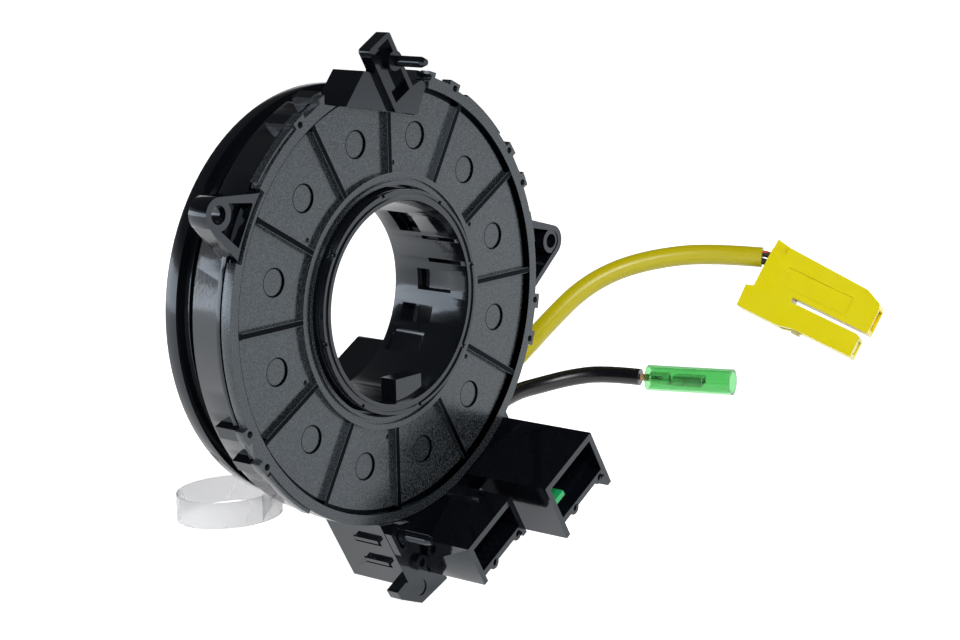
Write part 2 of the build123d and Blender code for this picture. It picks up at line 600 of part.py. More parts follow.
def lead(name, route, radius):
    """Round lead along straight runs joined by tangent arcs, each as large as its runs allow."""
    points = [Vector(*p) for p in route]
    radii = []
    for a, b, c in zip(points, points[1:], points[2:]):
        turn = math.radians((b - a).get_angle(c - b))
        radii.append(0.45 * min((b - a).length, (c - b).length) / math.tan(turn / 2))
    path = FilletPolyline(*points, radius=radii)
    tube = sweep(Plane(origin=path @ 0, z_dir=path % 0) * Circle(radius), path=path)
    print(name, "length", round(path.length, 1), "radii", [round(r, 1) for r in radii],
          "volume over section times length", round(tube.volume / (math.pi * radius ** 2 * path.length), 4))
    return tube


# Inner pieces
def terminal_block():
    """Moulded block that joins the outer end of the flat cable to the socket contacts."""
    u0, u1 = GATE_U
    body = slab(bar(u0 + SLIP, u1 - SLIP, -SOCKET_TOP - 1.5, -CHAMBER_R + 0.8),
                GATE_Y[0] + SLIP, GATE_Y[1] - SLIP, BLOCK_TURN)
    body += slab(bar(-26.0, 14.0, -SOCKET_TOP - 5.4, -SOCKET_TOP - 1.4),
                 GATE_Y[0] + SLIP + 0.4, GATE_Y[1] - SLIP, BLOCK_TURN)
    body -= slab(Circle(CHAMBER_R + 0.1), 0, SHELL_END)
    return body


def outer_busbars():
    """Stamped strips from the terminal block to the contact carriers."""
    group = Part()
    for k in range(8):
        u = -22.0 + 4.6 * k
        if SOCKET_A[1] - 1.0 < u < SOCKET_B[0] + 2.0:
            continue
        group += slab(bar(u - 0.6, u + 0.6, -SOCKET_TOP - 5.4 - 0.6, -SOCKET_TOP - 5.4),
                      BLOCK_FRONT + BLOCK_WALL + CARRIER_T, GATE_Y[1] - SLIP, BLOCK_TURN)
    return group


def inner_terminal():
    """Moulded shoe on the drum that grips the inner end of the flat cable."""
    start = -98.0
    return slab(sector(DRUM_R + 1.4, DRUM_R, start, start + 26.0), DRUM_FRONT + 0.8, DRUM_BACK - 0.8)


def inner_busbars():
    """Stamped strips from the shoe through the drum to the wheel-side socket."""
    group = Part()
    front = DRUM_FRONT + 1.4
    for k in range(5):
        x, z = polar((DRUM_R - 1.3 + BORE_R + HUB_T) / 2, -96.0 + 5.0 * k)
        group += cylinder_y(x, z, 0.35, front, DRUM_BACK - 1.4)
    return group


CABLE_T = 0.5
CABLE_TURNS = 3
CABLE_W = 10.4


def flat_cable():
    """Flat cable wound in open turns: one spiral band from the drum to the chamber wall."""
    inner_r = DRUM_R + 2.2
    outer_r = CHAMBER_R - 0.6
    steps = 24 * CABLE_TURNS
    points = []
    for k in range(steps + 1):
        r = inner_r + (outer_r - inner_r) * k / steps
        a = 360.0 * k / 24
        points.append(polar(r, a))
    line = Spline(*points)
    band = trace(line, line_width=CABLE_T)
    return slab(band, DRUM_FRONT + 0.9, DRUM_FRONT + 0.9 + CABLE_W)


def slide_sheet(front):
    """Thin low-friction sheet beside the flat cable."""
    return ring(CHAMBER_R - 0.4, DRUM_R + 0.6, front, front + 0.3)


TAPE_W = 6.0
TAPE_T = 0.4
TAPE_CENTRE = (-18.0, RIM_BACK + 13.4)
TAPE_HALF = (13.0, 11.0)
TAPE_LOW = -50.6


def transport_tape():
    """Upright film band in a loop behind the rotor, its two ends stuck together as a tab on the rim."""
    a, b = TAPE_HALF
    band = Pos(*TAPE_CENTRE) * (Ellipse(a, b) - Ellipse(a - TAPE_T, b - TAPE_T))
    loop = Pos(0, 0, TAPE_LOW) * extrude(band, amount=TAPE_W)
    near = TAPE_CENTRE[1] - b + TAPE_T / 2
    outline = Polygon((RIM_BACK + SNUG, TAPE_LOW + TAPE_W + 2.8), (RIM_BACK + SNUG, TAPE_LOW + 4.0),
                      (near, TAPE_LOW), (near, TAPE_LOW + TAPE_W), align=None)
    return loop + extrude(Plane.YZ.offset(TAPE_CENTRE[0] - TAPE_T) * outline, amount=2 * TAPE_T)


# Plug on the yellow lead, in a frame of its own
PLUG_BACK = Vector(126.9, -9.0, -13.9)
PLUG_ALONG = Vector(0.2517, -0.8895, -0.3819).normalized()
PLUG_ACROSS_GUESS = Vector(0.4381, -0.2470, 0.8650)
PLUG_THICK = (PLUG_ALONG.cross(PLUG_ACROSS_GUESS)).normalized()
PLUG_PLANE = Plane(origin=PLUG_BACK, x_dir=PLUG_ALONG, z_dir=PLUG_THICK)
PLUG_LEN = 34.2
PLUG_HALF_T = 4.4
ARM_LEN = 32.9
ARM_LOW = -6.6
PRONG_GAP = (-0.6, 0.6)
PRONG_ROOT = 13.0
MOUTH_W = (1.8, 7.4)
MOUTH_DEPTH = 11.0
LOCK_W = (-5.2, -2.2)
LOCK_HALF_T = 2.0
LOCK_START = 16.0
LOCK_END = 32.5
LOCK_TONGUE = 2.4
LOCK_TRAVEL = 3.0
CORE_R = 0.85
CORE_W = (5.6, 7.9)
CORE_INSIDE = 5.5


def plug_slab(sketch, low, high):
    """Solid in the plug's frame between two heights."""
    return extrude(PLUG_PLANE.offset(low) * sketch, amount=high - low, dir=PLUG_THICK)


def plug_body():
    """Plug housing: a long box for the two contacts and a side arm that holds the lock."""
    outline = Polygon((0.5, -1.6), (0.8, -7.4), (12.8, -7.5), (16.7, ARM_LOW), (ARM_LEN, ARM_LOW),
                      (ARM_LEN, -1.3), (ARM_LEN - 1.1, PRONG_GAP[0]), (PRONG_ROOT, PRONG_GAP[0]),
                      (PRONG_ROOT, PRONG_GAP[1]), (PLUG_LEN, PRONG_GAP[1]), (PLUG_LEN, 7.5), (33.6, 8.8),
                      (29.4, 10.7), (7.0, 11.8), (2.6, 12.6), (2.5, -0.9), align=None)
    body = plug_slab(outline, -PLUG_HALF_T, PLUG_HALF_T)
    body -= plug_slab(bar(PLUG_LEN - MOUTH_DEPTH, PLUG_LEN + 1, *MOUTH_W), -PLUG_HALF_T + 1.4, PLUG_HALF_T - 1.4)
    body -= plug_slab(bar(LOCK_START - LOCK_TRAVEL - SLIP, PLUG_LEN, LOCK_W[0] - SLIP, LOCK_W[1] + SLIP),
                      -LOCK_HALF_T - SLIP, LOCK_HALF_T + SLIP)
    body -= plug_slab(bar(LOCK_START - LOCK_TRAVEL - SLIP, LOCK_START + LOCK_TONGUE + SLIP, -9.0, LOCK_W[0] + 1),
                      -LOCK_TONGUE / 2 - SLIP, LOCK_TONGUE / 2 + SLIP)
    body -= plug_slab(bar(8.6, 27.0, 2.2, 7.2), PLUG_HALF_T - 0.4, PLUG_HALF_T + 1)
    body -= plug_slab(bar(0.0, CORE_INSIDE + 1.0, CORE_W[0] - 1.8, CORE_W[1] + 1.6), -2.2, 2.2)
    for n in (-PLUG_HALF_T, PLUG_HALF_T - 1.0):
        body -= plug_slab(bar(1.0, 6.4, 9.9, 13.0), n, n + 1.0)
    return body


def plug_lock():
    """Sliding lock inside the side arm: its end shows in the arm's mouth, its tongue below the arm."""
    body = plug_slab(bar(LOCK_START, LOCK_END, *LOCK_W), -LOCK_HALF_T, LOCK_HALF_T)
    body += plug_slab(bar(LOCK_START, LOCK_START + LOCK_TONGUE, ARM_LOW - 1.0, LOCK_W[0] + 0.5),
                      -LOCK_TONGUE / 2, LOCK_TONGUE / 2)
    return body


def plug_insert():
    """Orange contact insert at the mouth of the plug."""
    low, high = MOUTH_W
    body = plug_slab(bar(PLUG_LEN - MOUTH_DEPTH, PLUG_LEN - 0.8, low + SNUG, high - SNUG),
                     -PLUG_HALF_T + 1.4 + SNUG, PLUG_HALF_T - 1.4 - SNUG)
    for w in (low + 1.5, high - 1.5):
        body -= plug_slab(bar(PLUG_LEN - MOUTH_DEPTH + 1, PLUG_LEN, w - 0.8, w + 0.8), -0.8, 0.8)
    return body


def plug_contacts():
    """Two spring contacts inside the insert."""
    group = Part()
    for w in (MOUTH_W[0] + 1.5, MOUTH_W[1] - 1.5):
        group += plug_slab(bar(PLUG_LEN - MOUTH_DEPTH + 1, PLUG_LEN - 1.6, w - 0.5, w + 0.5), -0.5, 0.5)
    return group


def yellow_cores():
    """Two insulated cores from the end of the yellow tube into the plug."""
    end = Vector(*YELLOW_ROUTE[-1])
    d = (end - Vector(*YELLOW_ROUTE[-2])).normalized()
    across = (PLUG_PLANE.y_dir - d * PLUG_PLANE.y_dir.dot(d)).normalized()
    group = Part()
    for w, side in zip(CORE_W, (-1.0, 1.0)):
        start = end + across * side
        inside = PLUG_PLANE.from_local_coords(Vector(CORE_INSIDE, w, 0))
        path = Spline(start, inside, tangents=[d, PLUG_ALONG])
        group += sweep(Plane(origin=path @ 0, z_dir=path % 0) * Circle(CORE_R), path=path)
    return group


# Crimped end of the black lead
BLACK_END = Vector(*BLACK_ROUTE[-1])
SLEEVE_ALONG = Vector(0.2887, -0.9572, 0.0170).normalized()
SLEEVE_START = BLACK_END + SLEEVE_ALONG * 2.2
SLEEVE_LEN = 22.5
SLEEVE_R = 3.3
SLEEVE_T = 0.5


def sleeve_rod(start, length, radius):
    """Round bar along the sleeve's own line."""
    return Plane(origin=BLACK_END + SLEEVE_ALONG * start, z_dir=SLEEVE_ALONG) * Cylinder(
        radius, length, align=(Align.CENTER, Align.CENTER, Align.MIN))


def black_cores():
    """Bare end of the black lead inside the crimp."""
    return sleeve_rod(0.3, 3.7, 0.9)


def horn_terminal():
    """Stamped receptacle terminal: crimp barrel, neck and flat box."""
    across = SLEEVE_ALONG.cross(Vector(0, 0, 1)).normalized()
    frame = Plane(origin=BLACK_END, x_dir=SLEEVE_ALONG, z_dir=across.cross(SLEEVE_ALONG))
    body = sleeve_rod(3.0, 5.0, 1.6) - sleeve_rod(2.0, 7.0, 0.9 + CONTACT_FIT)
    body += extrude(frame.offset(-1.3) * bar(7.6, 9.6, -1.2, 1.2), amount=0.8)
    box = extrude(frame.offset(-1.3) * bar(9.4, 17.0, -2.0, 2.0), amount=2.4)
    box -= extrude(frame.offset(-0.8) * bar(9.0, 18.0, -1.4, 1.4), amount=1.4)
    return body + box


def green_sleeve():
    """Clear green insulating sleeve over the terminal."""
    body = sleeve_rod(2.2, SLEEVE_LEN, SLEEVE_R)
    return body - sleeve_rod(1.0, SLEEVE_LEN + 4, SLEEVE_R - SLEEVE_T)


save("rear_cover", rear_cover())
save("stator_housing", stator_housing())
save("block_cover", block_cover())
save("socket_a_contacts", contacts_a())
save("socket_b_contacts", contacts_b())
save("carrier_a", contact_carrier(SOCKET_A) - contacts_a(PIN_SIDE + 2 * CONTACT_FIT))
save("carrier_b", contact_carrier(SOCKET_B) - contacts_b(PIN_SIDE + 2 * CONTACT_FIT))
save("socket_b_insert", socket_insert())
save("green_retainer", socket_retainer())
save("terminal_block", terminal_block())
save("outer_busbars", outer_busbars())
save("slide_sheet_rear", slide_sheet(COVER_T + 0.1))
save("slide_sheet_front", slide_sheet(SHELL_END - FLOOR_T - 0.4))
save("flat_cable", flat_cable())
save("hub_sleeve", hub_sleeve())
save("rotor_disc", rotor_disc())
save("inner_terminal", inner_terminal())
save("inner_busbars", inner_busbars())
save("wheel_socket", wheel_socket())
save("wheel_contacts", wheel_contacts())
save("lead_cover", lead_cover())
save("transport_tape", transport_tape())
save("yellow_tube", lead("yellow_tube", YELLOW_ROUTE, YELLOW_R))
save("yellow_cores", yellow_cores())
save("plug_body", plug_body())
save("plug_lock", plug_lock())
save("plug_insert", plug_insert())
save("plug_contacts", plug_contacts())
save("black_lead", lead("black_lead", BLACK_ROUTE, BLACK_R))
save("black_cores", black_cores())
save("horn_terminal", horn_terminal())
save("green_sleeve", green_sleeve())
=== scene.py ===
import bpy
import bmesh
import math
from mathutils import Matrix, Vector


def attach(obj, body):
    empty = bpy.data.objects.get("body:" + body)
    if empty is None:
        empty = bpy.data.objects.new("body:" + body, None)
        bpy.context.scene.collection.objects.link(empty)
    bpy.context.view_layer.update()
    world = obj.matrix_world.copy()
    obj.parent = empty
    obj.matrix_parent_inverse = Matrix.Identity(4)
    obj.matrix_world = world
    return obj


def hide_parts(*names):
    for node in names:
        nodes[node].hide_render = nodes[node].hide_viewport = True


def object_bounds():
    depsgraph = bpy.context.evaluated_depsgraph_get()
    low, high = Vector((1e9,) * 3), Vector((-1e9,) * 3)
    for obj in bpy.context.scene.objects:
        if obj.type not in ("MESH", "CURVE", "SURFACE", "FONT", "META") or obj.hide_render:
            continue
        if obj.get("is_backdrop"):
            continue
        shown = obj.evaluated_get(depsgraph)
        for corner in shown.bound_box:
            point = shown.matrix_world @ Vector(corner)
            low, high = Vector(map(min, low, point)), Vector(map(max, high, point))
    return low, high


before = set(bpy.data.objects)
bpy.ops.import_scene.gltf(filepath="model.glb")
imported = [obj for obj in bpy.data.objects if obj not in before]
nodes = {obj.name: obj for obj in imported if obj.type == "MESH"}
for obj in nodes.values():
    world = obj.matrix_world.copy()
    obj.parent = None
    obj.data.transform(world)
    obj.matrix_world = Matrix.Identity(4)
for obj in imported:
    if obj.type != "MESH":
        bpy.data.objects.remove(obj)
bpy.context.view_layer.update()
scene = bpy.context.scene
scene.view_settings.view_transform = "Standard"

# Camera: a long lens a little above the unit and off to its left, looking at the ribbed side. The
# turn, tilt and roll were read from the photograph's own perspective.
camera_seat = (-0.3805, -0.3472, 0.0995)
camera_data = bpy.data.cameras.new("camera")
camera_data.lens = 89.13
camera_data.sensor_width = 36.0
camera = bpy.data.objects.new("camera", camera_data)
scene.collection.objects.link(camera)
scene.camera = camera
turn = math.radians(-49.72)
tilt = math.radians(11.43)
roll = math.radians(-1.14)
back = Vector((math.sin(turn) * math.cos(tilt), -math.cos(turn) * math.cos(tilt), math.sin(tilt)))
level = Vector((math.cos(turn), math.sin(turn), 0.0))
upright = back.cross(level)
right = level * math.cos(roll) + upright * math.sin(roll)
above = upright * math.cos(roll) - level * math.sin(roll)
camera.matrix_world = Matrix((
    (right.x, above.x, back.x, camera_seat[0]),
    (right.y, above.y, back.y, camera_seat[1]),
    (right.z, above.z, back.z, camera_seat[2]),
    (0.0, 0.0, 0.0, 1.0)))


# Airbag lead: two thin cores in a soft bright yellow PVC tube, which leaves the cover on the
# wheel side in a gland and ends just behind the yellow plug. The tube is extruded and glossy.
def shader(name):
    """A new node material: its tree, its Principled BSDF and the Object coordinates."""
    material = bpy.data.materials.new(name)
    material.use_nodes = True
    tree = material.node_tree
    surface = tree.nodes["Principled BSDF"]
    place = tree.nodes.new("ShaderNodeTexCoord")
    return material, tree, surface, place.outputs["Object"]


def group(name, takes, gives):
    """A new shader node group with named number inputs and outputs, and its two end nodes."""
    tree = bpy.data.node_groups.new(name, "ShaderNodeTree")
    vector = tree.interface.new_socket("Place", in_out="INPUT", socket_type="NodeSocketVector")
    vector.default_value = (0.0, 0.0, 0.0)
    for label, value in takes:
        socket = tree.interface.new_socket(label, in_out="INPUT", socket_type="NodeSocketFloat")
        socket.default_value = value
    for label in gives:
        tree.interface.new_socket(label, in_out="OUTPUT", socket_type="NodeSocketFloat")
    return tree, tree.nodes.new("NodeGroupInput"), tree.nodes.new("NodeGroupOutput")


def blend(tree, share, first, second):
    """One colour Mix node: its factor from a socket, its colours from sockets or values."""
    node = tree.nodes.new("ShaderNodeMix")
    node.data_type = "RGBA"
    tree.links.new(share, node.inputs["Factor"])
    for socket, colour in ((node.inputs[6], first), (node.inputs[7], second)):
        if isinstance(colour, tuple):
            socket.default_value = (*colour, 1.0)
        else:
            tree.links.new(colour, socket)
    return node.outputs[2]


# The skin that every moulded piece shares: a fine grain, the small waves of a cooling wall, and
# a gloss that is a little uneven with them.
skin, skin_in, skin_out = group("moulded_skin", [("Grain scale", 1500.0), ("Wave scale", 60.0),
                                                ("Wave share", 0.5), ("Rough low", 0.2), ("Rough high", 0.3)],
                                ["Height", "Roughness"])
grain = skin.nodes.new("ShaderNodeTexNoise")
grain.inputs["Detail"].default_value = 3.0
wave = skin.nodes.new("ShaderNodeTexNoise")
wave.inputs["Detail"].default_value = 2.0
mix = skin.nodes.new("ShaderNodeMix")
rough = skin.nodes.new("ShaderNodeMapRange")
skin.links.new(skin_in.outputs["Place"], grain.inputs["Vector"])
skin.links.new(skin_in.outputs["Grain scale"], grain.inputs["Scale"])
skin.links.new(skin_in.outputs["Place"], wave.inputs["Vector"])
skin.links.new(skin_in.outputs["Wave scale"], wave.inputs["Scale"])
skin.links.new(skin_in.outputs["Wave share"], mix.inputs["Factor"])
skin.links.new(grain.outputs["Fac"], mix.inputs["A"])
skin.links.new(wave.outputs["Fac"], mix.inputs["B"])
skin.links.new(wave.outputs["Fac"], rough.inputs["Value"])
rough.inputs["From Min"].default_value = 0.35
rough.inputs["From Max"].default_value = 0.65
skin.links.new(skin_in.outputs["Rough low"], rough.inputs["To Min"])
skin.links.new(skin_in.outputs["Rough high"], rough.inputs["To Max"])
skin.links.new(mix.outputs["Result"], skin_out.inputs["Height"])
skin.links.new(rough.outputs["Result"], skin_out.inputs["Roughness"])


def moulded(name, colour, rough_low, rough_high, grain_scale=1500.0, wave_scale=60.0, wave_share=0.5,
            depth=0.00005, shade=0.12, plain=()):
    """Moulded plastic: a clouded base colour, the skin's gloss and relief, and plain socket values."""
    material, tree, surface, place = shader(name)
    finish = tree.nodes.new("ShaderNodeGroup")
    finish.node_tree = skin
    for label, value in (("Grain scale", grain_scale), ("Wave scale", wave_scale), ("Wave share", wave_share),
                         ("Rough low", rough_low), ("Rough high", rough_high)):
        finish.inputs[label].default_value = value
    cloud = tree.nodes.new("ShaderNodeTexNoise")
    cloud.inputs["Scale"].default_value = 35.0
    darker = tuple(c * (1 - shade) for c in colour)
    lighter = tuple(min(1.0, c * (1 + shade)) for c in colour)
    bump = tree.nodes.new("ShaderNodeBump")
    bump.inputs["Distance"].default_value = depth
    bump.inputs["Strength"].default_value = 1.0
    tree.links.new(place, finish.inputs["Place"])
    tree.links.new(place, cloud.inputs["Vector"])
    tree.links.new(blend(tree, cloud.outputs["Fac"], darker, lighter), surface.inputs["Base Color"])
    tree.links.new(finish.outputs["Roughness"], surface.inputs["Roughness"])
    tree.links.new(finish.outputs["Height"], bump.inputs["Height"])
    tree.links.new(bump.outputs["Normal"], surface.inputs["Normal"])
    for label, value in plain:
        surface.inputs[label].default_value = value
    return material


def dress(names, material, edge=0.00015):
    """Gives CAD nodes their finish, and a small round on their moulded edges."""
    for name in names:
        piece = nodes[name]
        piece.data.materials.clear()
        piece.data.materials.append(material)
        if edge:
            weld = piece.modifiers.new("weld", "WELD")
            weld.merge_threshold = 0.00001
            bevel = piece.modifiers.new("edge", "BEVEL")
            bevel.width = edge
            bevel.segments = 2
            bevel.limit_method = "ANGLE"
            bevel.angle_limit = math.radians(35.0)


def lead(name, route, radius, material, body):
    """A lead on one smooth curve through its route."""
    data = bpy.data.curves.new(name, "CURVE")
    data.dimensions = "3D"
    data.bevel_depth = radius
    data.bevel_resolution = 8
    data.resolution_u = 16
    data.use_fill_caps = True
    line = data.splines.new("NURBS")
    line.points.add(len(route) - 1)
    for point, (x, y, z) in zip(line.points, route):
        point.co = (x, y, z, 1.0)
    line.order_u = 3
    line.use_endpoint_u = True
    piece = bpy.data.objects.new(name, data)
    scene.collection.objects.link(piece)
    data.materials.append(material)
    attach(piece, body)
    return piece


yellow_route = [(0.0445, 0.0300, -0.0400), (0.0540, 0.0300, -0.0380), (0.0635, 0.0302, -0.0360),
                (0.0730, 0.0300, -0.0332), (0.0818, 0.0294, -0.0284), (0.0909, 0.0281, -0.0223),
                (0.0996, 0.0254, -0.0159), (0.1077, 0.0203, -0.0113), (0.1156, 0.0127, -0.0086),
                (0.1236, 0.0018, -0.0072), (0.1299, -0.0110, -0.0081)]
YELLOW_DIAMETER, YELLOW_LENGTH = 0.0052, 0.1110
yellow_tubing = moulded("yellow_tubing", (0.53, 0.455, 0.003), 0.25, 0.36, 900.0, 120.0, 0.7, 0.00003, 0.05)
yellow_lead = lead("airbag_lead", yellow_route, YELLOW_DIAMETER / 2, yellow_tubing, "rotor")
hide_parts("yellow_tube")

# Horn lead: one stranded core in a black satin PVC skin, crimped into a small receptacle
# terminal under a clear green sleeve.
black_route = [(0.0465, 0.0300, -0.0480), (0.0565, 0.0300, -0.0454), (0.0668, 0.0298, -0.0420),
               (0.0770, 0.0292, -0.0392), (0.0844, 0.0266, -0.0384), (0.0907, 0.0220, -0.0370),
               (0.0956, 0.0152, -0.0359), (0.0985, 0.0053, -0.0362)]
BLACK_DIAMETER, BLACK_LENGTH = 0.0043, 0.0661
black_skin = moulded("black_insulation", (0.004, 0.004, 0.006), 0.2, 0.3, 900.0, 150.0, 0.7, 0.00003)
black_lead = lead("horn_lead", black_route, BLACK_DIAMETER / 2, black_skin, "rotor")
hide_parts("black_lead")

# Cores and crimps: two thin red and black cores leave the yellow tube for the plug; the horn
# core's copper strands end in a stamped tinned receptacle.
BETWEEN_CORES = -0.0068
BLACK_CORE, RED_CORE = (0.02, 0.02, 0.02), (0.62, 0.07, 0.03)
cores, tree, surface, place = shader("core_insulation")
split = tree.nodes.new("ShaderNodeSeparateXYZ")
upper = tree.nodes.new("ShaderNodeMath")
upper.operation = "GREATER_THAN"
upper.inputs[1].default_value = BETWEEN_CORES
tree.links.new(place, split.inputs["Vector"])
tree.links.new(split.outputs["Z"], upper.inputs[0])
tree.links.new(blend(tree, upper.outputs["Value"], BLACK_CORE, RED_CORE), surface.inputs["Base Color"])
surface.inputs["Roughness"].default_value = 0.35
dress(["yellow_cores"], cores, 0)
copper = moulded("copper_strand", (0.65, 0.33, 0.16), 0.3, 0.4)
dress(["black_cores"], copper, 0)
tin = moulded("tinned_metal", (0.75, 0.72, 0.68), 0.2, 0.35, 2500.0, 200.0, 0.5, 0.00002,
              plain=[("Metallic", 1.0)])
dress(["horn_terminal", "socket_a_contacts", "socket_b_contacts", "wheel_contacts", "plug_contacts"], tin, 0.00005)

# Clear green sleeve: a short length of soft vinyl tube over the horn terminal, so clear that the
# tinned terminal shows through its wall.
green_clear = moulded("green_clear", (0.26, 0.66, 0.30), 0.04, 0.08, 700.0, 90.0, 0.7, 0.00003, 0.02,
                      plain=[("Transmission Weight", 0.95), ("IOR", 1.4)])
dress(["green_sleeve"], green_clear, 0)

# Airbag plug: a bright yellow glossy housing, a paler lock in its side arm and an orange insert
# round the two spring contacts.
plug_yellow = moulded("plug_yellow", (0.78, 0.68, 0.002), 0.24, 0.34, 1500.0, 80.0, 0.5, 0.00004, 0.04,
                      plain=[("Specular IOR Level", 0.3)])
dress(["plug_body"], plug_yellow, 0.0004)
lock_yellow = moulded("lock_yellow", (0.84, 0.80, 0.50), 0.2, 0.32, 1500.0, 80.0, 0.5, 0.00004, 0.05)
dress(["plug_lock"], lock_yellow, 0.0002)
insert_orange = moulded("insert_orange", (0.72, 0.26, 0.01), 0.3, 0.4)
dress(["plug_insert"], insert_orange, 0.0001)

# Fixed shell with its block, lid, two sockets, brackets and pins: deep black polished moulding
# that mirrors the studio, with the faint waves of a thin moulded wall.
shell_black = moulded("shell_black", (0.003, 0.0036, 0.0055), 0.06, 0.12, 1200.0, 55.0, 0.8, 0.00005, 0.2,
                      plain=[("Specular Tint", (0.80, 0.90, 1.0, 1.0))])
dress(["stator_housing", "block_cover", "socket_b_insert"], shell_black, 0.0002)

# Contacts' carriers, terminal block and stamped strips: undyed plastic and brass, all inside the
# block and seen only through the socket mouths.
natural = moulded("natural_plastic", (0.62, 0.58, 0.48), 0.35, 0.45)
dress(["carrier_a", "carrier_b", "terminal_block", "inner_terminal"], natural, 0.0001)
strip = moulded("strip_metal", (0.75, 0.58, 0.3), 0.25, 0.4, plain=[("Metallic", 1.0)])
dress(["outer_busbars", "inner_busbars"], strip, 0)
retainer_green = moulded("retainer_green", (0.02, 0.42, 0.13), 0.22, 0.32)
dress(["green_retainer"], retainer_green, 0.0001)

# Flat cable and its two slide sheets: a laminated ribbon in open turns between polyester sheets,
# inside the closed chamber.
ribbon = moulded("ribbon", (0.75, 0.72, 0.66), 0.3, 0.4)
dress(["flat_cable"], ribbon, 0)
sheet = moulded("slide_sheet", (0.80, 0.81, 0.82), 0.3, 0.4, 900.0, 60.0, 0.7, 0.00003, 0.03)
dress(["slide_sheet_rear", "slide_sheet_front"], sheet, 0)

# Rotor: sleeve and wheel-side disc in one black gloss, a little greyer than the shell, with the
# wheel-side socket and the cover over the roots of the leads.
rotor_black = moulded("rotor_black", (0.004, 0.005, 0.0068), 0.08, 0.15, 1200.0, 60.0, 0.75, 0.00005, 0.2,
                      plain=[("Specular Tint", (0.84, 0.92, 1.0, 1.0))])
dress(["hub_sleeve", "wheel_socket", "lead_cover"], rotor_black, 0.0002)
dress(["rotor_disc"], rotor_black, 0.0004)

# Film loop: a band of clear film, its ends stuck together, that holds the rotor centred until the
# unit is fitted.
film = moulded("film", (0.80, 0.80, 0.81), 0.22, 0.32, 900.0, 60.0, 0.7, 0.00004, 0.02,
               plain=[("Transmission Weight", 0.7), ("IOR", 1.25)])
dress(["transport_tape"], film, 0)

# Ribbed cover: dark grey plastic with an eroded grain in the pockets. The twelve ribs, the pocket
# corners and the rings of the ejector marks are painted black lines: painted shade for the shadows of the raised
# ribs, the pocket walls and the recessed marks.
RIB_STEP = math.radians(30.0)
RIB_FROM, RIB_TO = 0.0286, 0.0476
CORNER_R, CORNER_HALF = 0.0472, 0.0005
MARK_OUT, MARK_R = 0.037, 0.003
# Painted shade mask: Line is on along the ribs and the pocket corners, Ring on the mark rings, where shadows fall.
lines, lines_in, lines_out = group("cover_painted_shade_lines", [("Half width", 0.00055), ("Mark ring", 0.00018)],
                                   ["Line", "Ring"])


def reckon(tree, kind, first, second=None):
    """One Math node of a kind, fed by one or two sockets or numbers."""
    node = tree.nodes.new("ShaderNodeMath")
    node.operation = kind
    for socket, value in zip(node.inputs, (first, second)):
        if value is None:
            continue
        if isinstance(value, float):
            socket.default_value = value
        else:
            tree.links.new(value, socket)
    return node.outputs["Value"]


def distance(tree, one, other):
    """The length of a flat offset, from its two parts."""
    return reckon(tree, "SQRT", reckon(tree, "ADD", reckon(tree, "MULTIPLY", one, one),
                                       reckon(tree, "MULTIPLY", other, other)))


# Painted shade: a thin band along the middle of each rib, standing in for the rib's shadow.
# Distance from the middle of the nearest rib, between the hub's ring and the pocket corners
apart = lines.nodes.new("ShaderNodeSeparateXYZ")
lines.links.new(lines_in.outputs["Place"], apart.inputs["Vector"])
across, high = apart.outputs["X"], apart.outputs["Z"]
reach = distance(lines, across, high)
steps = reckon(lines, "DIVIDE", reckon(lines, "ARCTAN2", high, across), RIB_STEP)
off_rib = reckon(lines, "SUBTRACT", steps, reckon(lines, "ROUND", steps))
rib_angle = reckon(lines, "ABSOLUTE", reckon(lines, "MULTIPLY", off_rib, RIB_STEP))
rib_gap = reckon(lines, "MULTIPLY", reach, rib_angle)
on_rib = reckon(lines, "LESS_THAN", rib_gap, lines_in.outputs["Half width"])
inside = reckon(lines, "MULTIPLY", reckon(lines, "GREATER_THAN", reach, RIB_FROM),
                reckon(lines, "LESS_THAN", reach, RIB_TO))
# Painted shadow of the pocket wall: a thin ring just inside the cover's outer rim.
at_corner = reckon(lines, "COMPARE", reach, CORNER_R)
at_corner.node.inputs[2].default_value = CORNER_HALF
lines.links.new(reckon(lines, "MAXIMUM", reckon(lines, "MULTIPLY", on_rib, inside), at_corner),
                lines_out.inputs["Line"])

# Painted shade: a thin dark ring round each recessed ejector mark, standing in for its edge shadow.
# Distance from the ring of the round mark in the middle of each pocket
middle = reckon(lines, "SUBTRACT", steps, 0.5)
off_middle = reckon(lines, "SUBTRACT", middle, reckon(lines, "ROUND", middle))
off_mark = reckon(lines, "MULTIPLY", off_middle, RIB_STEP)
along = reckon(lines, "SUBTRACT", reckon(lines, "MULTIPLY", reach, reckon(lines, "COSINE", off_mark)), MARK_OUT)
aside = reckon(lines, "MULTIPLY", reach, reckon(lines, "SINE", off_mark))
ring_gap = reckon(lines, "ABSOLUTE", reckon(lines, "SUBTRACT", distance(lines, along, aside), MARK_R))
lines.links.new(reckon(lines, "LESS_THAN", ring_gap, lines_in.outputs["Mark ring"]), lines_out.inputs["Ring"])

GRAIN_DARK, GRAIN_LIGHT = (0.004, 0.005, 0.006), (0.034, 0.039, 0.043)
